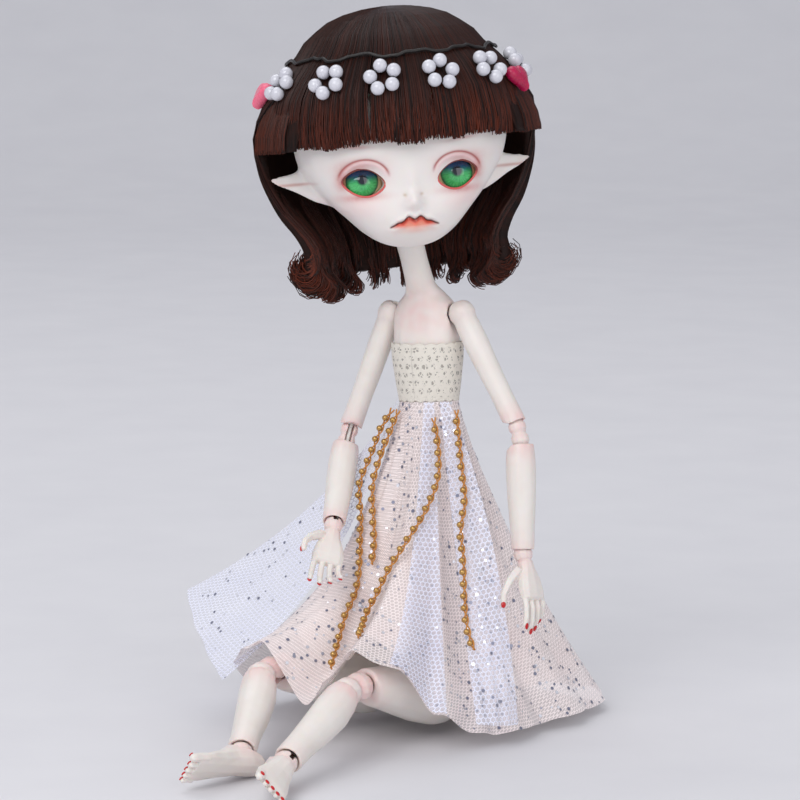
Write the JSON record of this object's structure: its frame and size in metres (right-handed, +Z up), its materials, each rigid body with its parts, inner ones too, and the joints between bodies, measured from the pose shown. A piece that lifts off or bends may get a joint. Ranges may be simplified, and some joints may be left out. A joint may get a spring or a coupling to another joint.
{
  "type": "ball jointed doll",
  "caption": "Seated ball jointed resin doll with pointed ears, a dark wig under a wreath of pearls, and a tulle skirt with strings of beads.",
  "frame": {"origin": "middle of the flat under the hips, where the doll sits", "axes": "+Z up, -Y the way the hips face, +X the doll's left"},
  "size_m": [0.1143, 0.1611, 0.2005],
  "materials": {
    "resin": "satin",
    "resin_face": "satin",
    "eye_glass": "gloss",
    "steel": "polished",
    "elastic": "matte",
    "hair": "satin",
    "black_wire": "satin",
    "pearl": "gloss",
    "pink_bead": "gloss",
    "lace": "matte",
    "tulle_pink": "matte",
    "tulle_white": "matte",
    "gold": "gloss"
  },
  "bodies": {
    "pelvis": {"torso_lower": "resin"},
    "chest": {"torso_upper": "resin", "bodice": "lace", "skirt": "tulle_pink", "panel_train": "tulle_white", "panel_front": "tulle_white", "panel_middle": "tulle_white", "bead_trim_1": "gold", "bead_trim_2": "gold", "bead_trim_3": "gold", "bead_trim_4": "gold"},
    "neck_hanger": {"neck_hook": "steel"},
    "hanger_rest": {"hook_rest": "resin"},
    "head": {"head_face": "resin_face", "head_cap": "resin", "eye_left": "eye_glass", "eye_right": "eye_glass", "head_magnet_face": "steel", "head_magnet_cap": "steel", "wig_crown": "hair", "wig_fringe": "hair", "wig_side_left": "hair", "wig_side_right": "hair", "wig_back": "hair", "headband_wire": "black_wire", "pearl_flower_1": "pearl", "pearl_flower_2": "pearl", "pearl_flower_3": "pearl", "pearl_flower_4": "pearl", "pearl_flower_5": "pearl", "pearl_flower_6": "pearl", "pink_heart_left": "pink_bead", "pink_heart_right": "pink_bead"},
    "arm_string_left": {"arm_elastic_left": "elastic"},
    "upper_arm_left": {"upper_arm_left": "resin"},
    "elbow_left": {"elbow_ball_left": "resin"},
    "forearm_left": {"forearm_left": "resin"},
    "hand_hanger_left": {"hand_hook_left": "steel"},
    "hand_left": {"hand_left": "resin"},
    "leg_string_left": {"leg_elastic_left": "elastic"},
    "thigh_left": {"thigh_left": "resin"},
    "knee_left": {"knee_ball_left": "resin"},
    "shin_left": {"shin_left": "resin"},
    "foot_hanger_left": {"foot_hook_left": "steel"},
    "foot_left": {"foot_left": "resin"},
    "arm_string_right": {"arm_elastic_right": "elastic"},
    "upper_arm_right": {"upper_arm_right": "resin"},
    "elbow_right": {"elbow_ball_right": "resin"},
    "forearm_right": {"forearm_right": "resin"},
    "hand_hanger_right": {"hand_hook_right": "steel"},
    "hand_right": {"hand_right": "resin"},
    "leg_string_right": {"leg_elastic_right": "elastic"},
    "thigh_right": {"thigh_right": "resin"},
    "knee_right": {"knee_ball_right": "resin"},
    "shin_right": {"shin_right": "resin"},
    "foot_hanger_right": {"foot_hook_right": "steel"},
    "foot_right": {"foot_right": "resin"}
  },
  "joints": [
    {"name": "waist_bend", "type": "hinge", "parent": "pelvis", "child": "chest", "pos_m": [0, -0.0042, 0.068], "axis": [1, 0, 0], "range_deg": [-12, 16], "deforming": ["skirt", "panel_train", "panel_front", "panel_middle", "bead_trim_1", "bead_trim_2", "bead_trim_3", "bead_trim_4", "leg_elastic_left", "leg_elastic_right"]},
    {"name": "neck_turn", "type": "hinge", "parent": "chest", "child": "neck_hanger", "pos_m": [-0.00496, -0.01005, 0.13938], "axis": [-0.0698, 0.0522, 0.9962], "range_deg": [-90, 20], "deforming": ["wig_back", "wig_side_left", "wig_side_right"]},
    {"name": "head_tilt", "type": "hinge", "parent": "neck_hanger", "child": "hanger_rest", "pos_m": [-0.00496, -0.01005, 0.13938], "axis": [-0.6142, 0.7847, -0.0841], "range_deg": [-5, 10], "deforming": ["wig_back", "wig_side_left", "wig_side_right"]},
    {"name": "head_nod", "type": "hinge", "parent": "hanger_rest", "child": "head", "pos_m": [-0.00496, -0.01005, 0.13938], "axis": [0.7804, 0.6197, 0.0834], "range_deg": [-10, 8], "deforming": ["wig_back", "wig_side_left", "wig_side_right"]},
    {"name": "shoulder_swing_left", "type": "hinge", "parent": "chest", "child": "arm_string_left", "pos_m": [0.00834, -0.00173, 0.11503], "axis": [-0.9976, -0.0037, -0.0697], "range_deg": [-40, 80], "deforming": ["arm_elastic_left", "skirt", "panel_train", "panel_front", "panel_middle", "bead_trim_1", "bead_trim_2", "bead_trim_3", "bead_trim_4"]},
    {"name": "shoulder_lift_left", "type": "hinge", "parent": "arm_string_left", "child": "upper_arm_left", "pos_m": [0.00834, -0.00173, 0.11503], "axis": [-0.0015, -0.9973, 0.0732], "range_deg": [-8, 55], "deforming": ["arm_elastic_left"]},
    {"name": "elbow_high_left", "type": "hinge", "parent": "upper_arm_left", "child": "elbow_left", "pos_m": [0.02746, -0.00396, 0.08509], "axis": [-0.2026, 0.9585, -0.2007], "range_deg": [-12, 24], "deforming": ["arm_elastic_left"]},
    {"name": "elbow_low_left", "type": "hinge", "parent": "elbow_left", "child": "forearm_left", "pos_m": [0.02864, -0.00437, 0.08193], "axis": [-0.2026, 0.9585, -0.2007], "range_deg": [-12, 24], "deforming": ["arm_elastic_left"]},
    {"name": "wrist_turn_left", "type": "hinge", "parent": "forearm_left", "child": "hand_hanger_left", "pos_m": [0.03297, -0.00989, 0.05122], "axis": [-0.1376, 0.175, 0.9749], "range_deg": [-60, 60], "deforming": ["arm_elastic_left"]},
    {"name": "wrist_bend_left", "type": "hinge", "parent": "hand_hanger_left", "child": "hand_left", "pos_m": [0.03297, -0.00989, 0.05122], "axis": [-0.1412, -0.9777, 0.1556], "range_deg": [-45, 45], "deforming": ["arm_elastic_left"]},
    {"name": "hip_spread_left", "type": "hinge", "parent": "pelvis", "child": "leg_string_left", "pos_m": [0.0108, -0.0122, 0.0109], "axis": [0, 0, 1], "range_deg": [-1, 35], "deforming": ["leg_elastic_left", "skirt", "panel_train", "panel_front", "panel_middle", "bead_trim_1", "bead_trim_2", "bead_trim_3", "bead_trim_4"]},
    {"name": "hip_flex_left", "type": "hinge", "parent": "leg_string_left", "child": "thigh_left", "pos_m": [0.0108, -0.0122, 0.0109], "axis": [-0.9954, 0.0958, 0], "range_deg": [-100, 0], "deforming": ["leg_elastic_left", "skirt", "panel_train", "panel_front", "panel_middle", "bead_trim_1", "bead_trim_2", "bead_trim_3", "bead_trim_4"]},
    {"name": "knee_high_left", "type": "hinge", "parent": "thigh_left", "child": "knee_left", "pos_m": [0.00687, -0.05299, 0.01916], "axis": [0.9484, -0.0273, 0.3159], "range_deg": [-15, 30], "deforming": ["leg_elastic_left"]},
    {"name": "knee_low_left", "type": "hinge", "parent": "knee_left", "child": "shin_left", "pos_m": [0.00683, -0.05858, 0.0188], "axis": [0.9484, -0.0273, 0.3159], "range_deg": [-15, 30], "deforming": ["leg_elastic_left"]},
    {"name": "ankle_turn_left", "type": "hinge", "parent": "shin_left", "child": "foot_hanger_left", "pos_m": [0.00975, -0.09312, 0.00705], "axis": [-0.0797, 0.9437, 0.321], "range_deg": [-35, 35], "deforming": ["leg_elastic_left"]},
    {"name": "ankle_bend_left", "type": "hinge", "parent": "foot_hanger_left", "child": "foot_left", "pos_m": [0.00975, -0.09312, 0.00705], "axis": [0.6128, 0.3004, -0.7309], "range_deg": [-45, 5], "deforming": ["leg_elastic_left"]},
    {"name": "shoulder_swing_right", "type": "hinge", "parent": "chest", "child": "arm_string_right", "pos_m": [-0.01481, -0.00182, 0.11342], "axis": [-0.9976, -0.0037, -0.0697], "range_deg": [-12, 80], "deforming": ["arm_elastic_right", "skirt", "panel_train", "panel_front", "panel_middle", "bead_trim_1", "bead_trim_2", "bead_trim_3", "bead_trim_4"]},
    {"name": "shoulder_lift_right", "type": "hinge", "parent": "arm_string_right", "child": "upper_arm_right", "pos_m": [-0.01481, -0.00182, 0.11342], "axis": [0.0049, 0.9926, -0.1217], "range_deg": [-4, 60], "deforming": ["arm_elastic_right"]},
    {"name": "elbow_high_right", "type": "hinge", "parent": "upper_arm_right", "child": "elbow_right", "pos_m": [-0.02611, -0.00587, 0.0799], "axis": [-0.7295, -0.6049, 0.3192], "range_deg": [-28, 24], "deforming": ["arm_elastic_right"]},
    {"name": "elbow_low_right", "type": "hinge", "parent": "elbow_right", "child": "forearm_right", "pos_m": [-0.0261, -0.00747, 0.0769], "axis": [-0.7295, -0.6049, 0.3192], "range_deg": [-28, 24], "deforming": ["arm_elastic_right"]},
    {"name": "wrist_turn_right", "type": "hinge", "parent": "forearm_right", "child": "hand_hanger_right", "pos_m": [-0.01587, -0.03006, 0.05747], "axis": [0.3247, -0.7171, -0.6168], "range_deg": [-60, 60], "deforming": ["arm_elastic_right"]},
    {"name": "wrist_bend_right", "type": "hinge", "parent": "hand_hanger_right", "child": "hand_right", "pos_m": [-0.01587, -0.03006, 0.05747], "axis": [0.7295, 0.6049, -0.3192], "range_deg": [-45, 45], "deforming": ["arm_elastic_right"]},
    {"name": "hip_spread_right", "type": "hinge", "parent": "pelvis", "child": "leg_string_right", "pos_m": [-0.0108, -0.0122, 0.0109], "axis": [0, 0, -1], "range_deg": [-2, 20], "deforming": ["leg_elastic_right", "skirt", "panel_train", "panel_front", "panel_middle", "bead_trim_1", "bead_trim_2", "bead_trim_3", "bead_trim_4"]},
    {"name": "hip_flex_right", "type": "hinge", "parent": "leg_string_right", "child": "thigh_right", "pos_m": [-0.0108, -0.0122, 0.0109], "axis": [-0.9583, 0.2857, 0], "range_deg": [-100, 5], "deforming": ["leg_elastic_right", "skirt", "panel_train", "panel_front", "panel_middle", "bead_trim_1", "bead_trim_2", "bead_trim_3", "bead_trim_4"]},
    {"name": "knee_high_right", "type": "hinge", "parent": "thigh_right", "child": "knee_right", "pos_m": [-0.02247, -0.05134, 0.0198], "axis": [0.6541, -0.023, 0.7561], "range_deg": [-26, 24], "deforming": ["leg_elastic_right"]},
    {"name": "knee_low_right", "type": "hinge", "parent": "knee_right", "child": "shin_right", "pos_m": [-0.02212, -0.05691, 0.01933], "axis": [0.6541, -0.023, 0.7561], "range_deg": [-26, 24], "deforming": ["leg_elastic_right"]},
    {"name": "ankle_turn_right", "type": "hinge", "parent": "shin_right", "child": "foot_hanger_right", "pos_m": [-0.0078, -0.08784, 0.006], "axis": [0.3912, -0.8452, -0.3641], "range_deg": [-35, 35], "deforming": ["leg_elastic_right"]},
    {"name": "ankle_bend_right", "type": "hinge", "parent": "foot_hanger_right", "child": "foot_right", "pos_m": [-0.0078, -0.08784, 0.006], "axis": [0.6541, -0.023, 0.7561], "range_deg": [-40, 20], "deforming": ["leg_elastic_right"]}
  ]
}
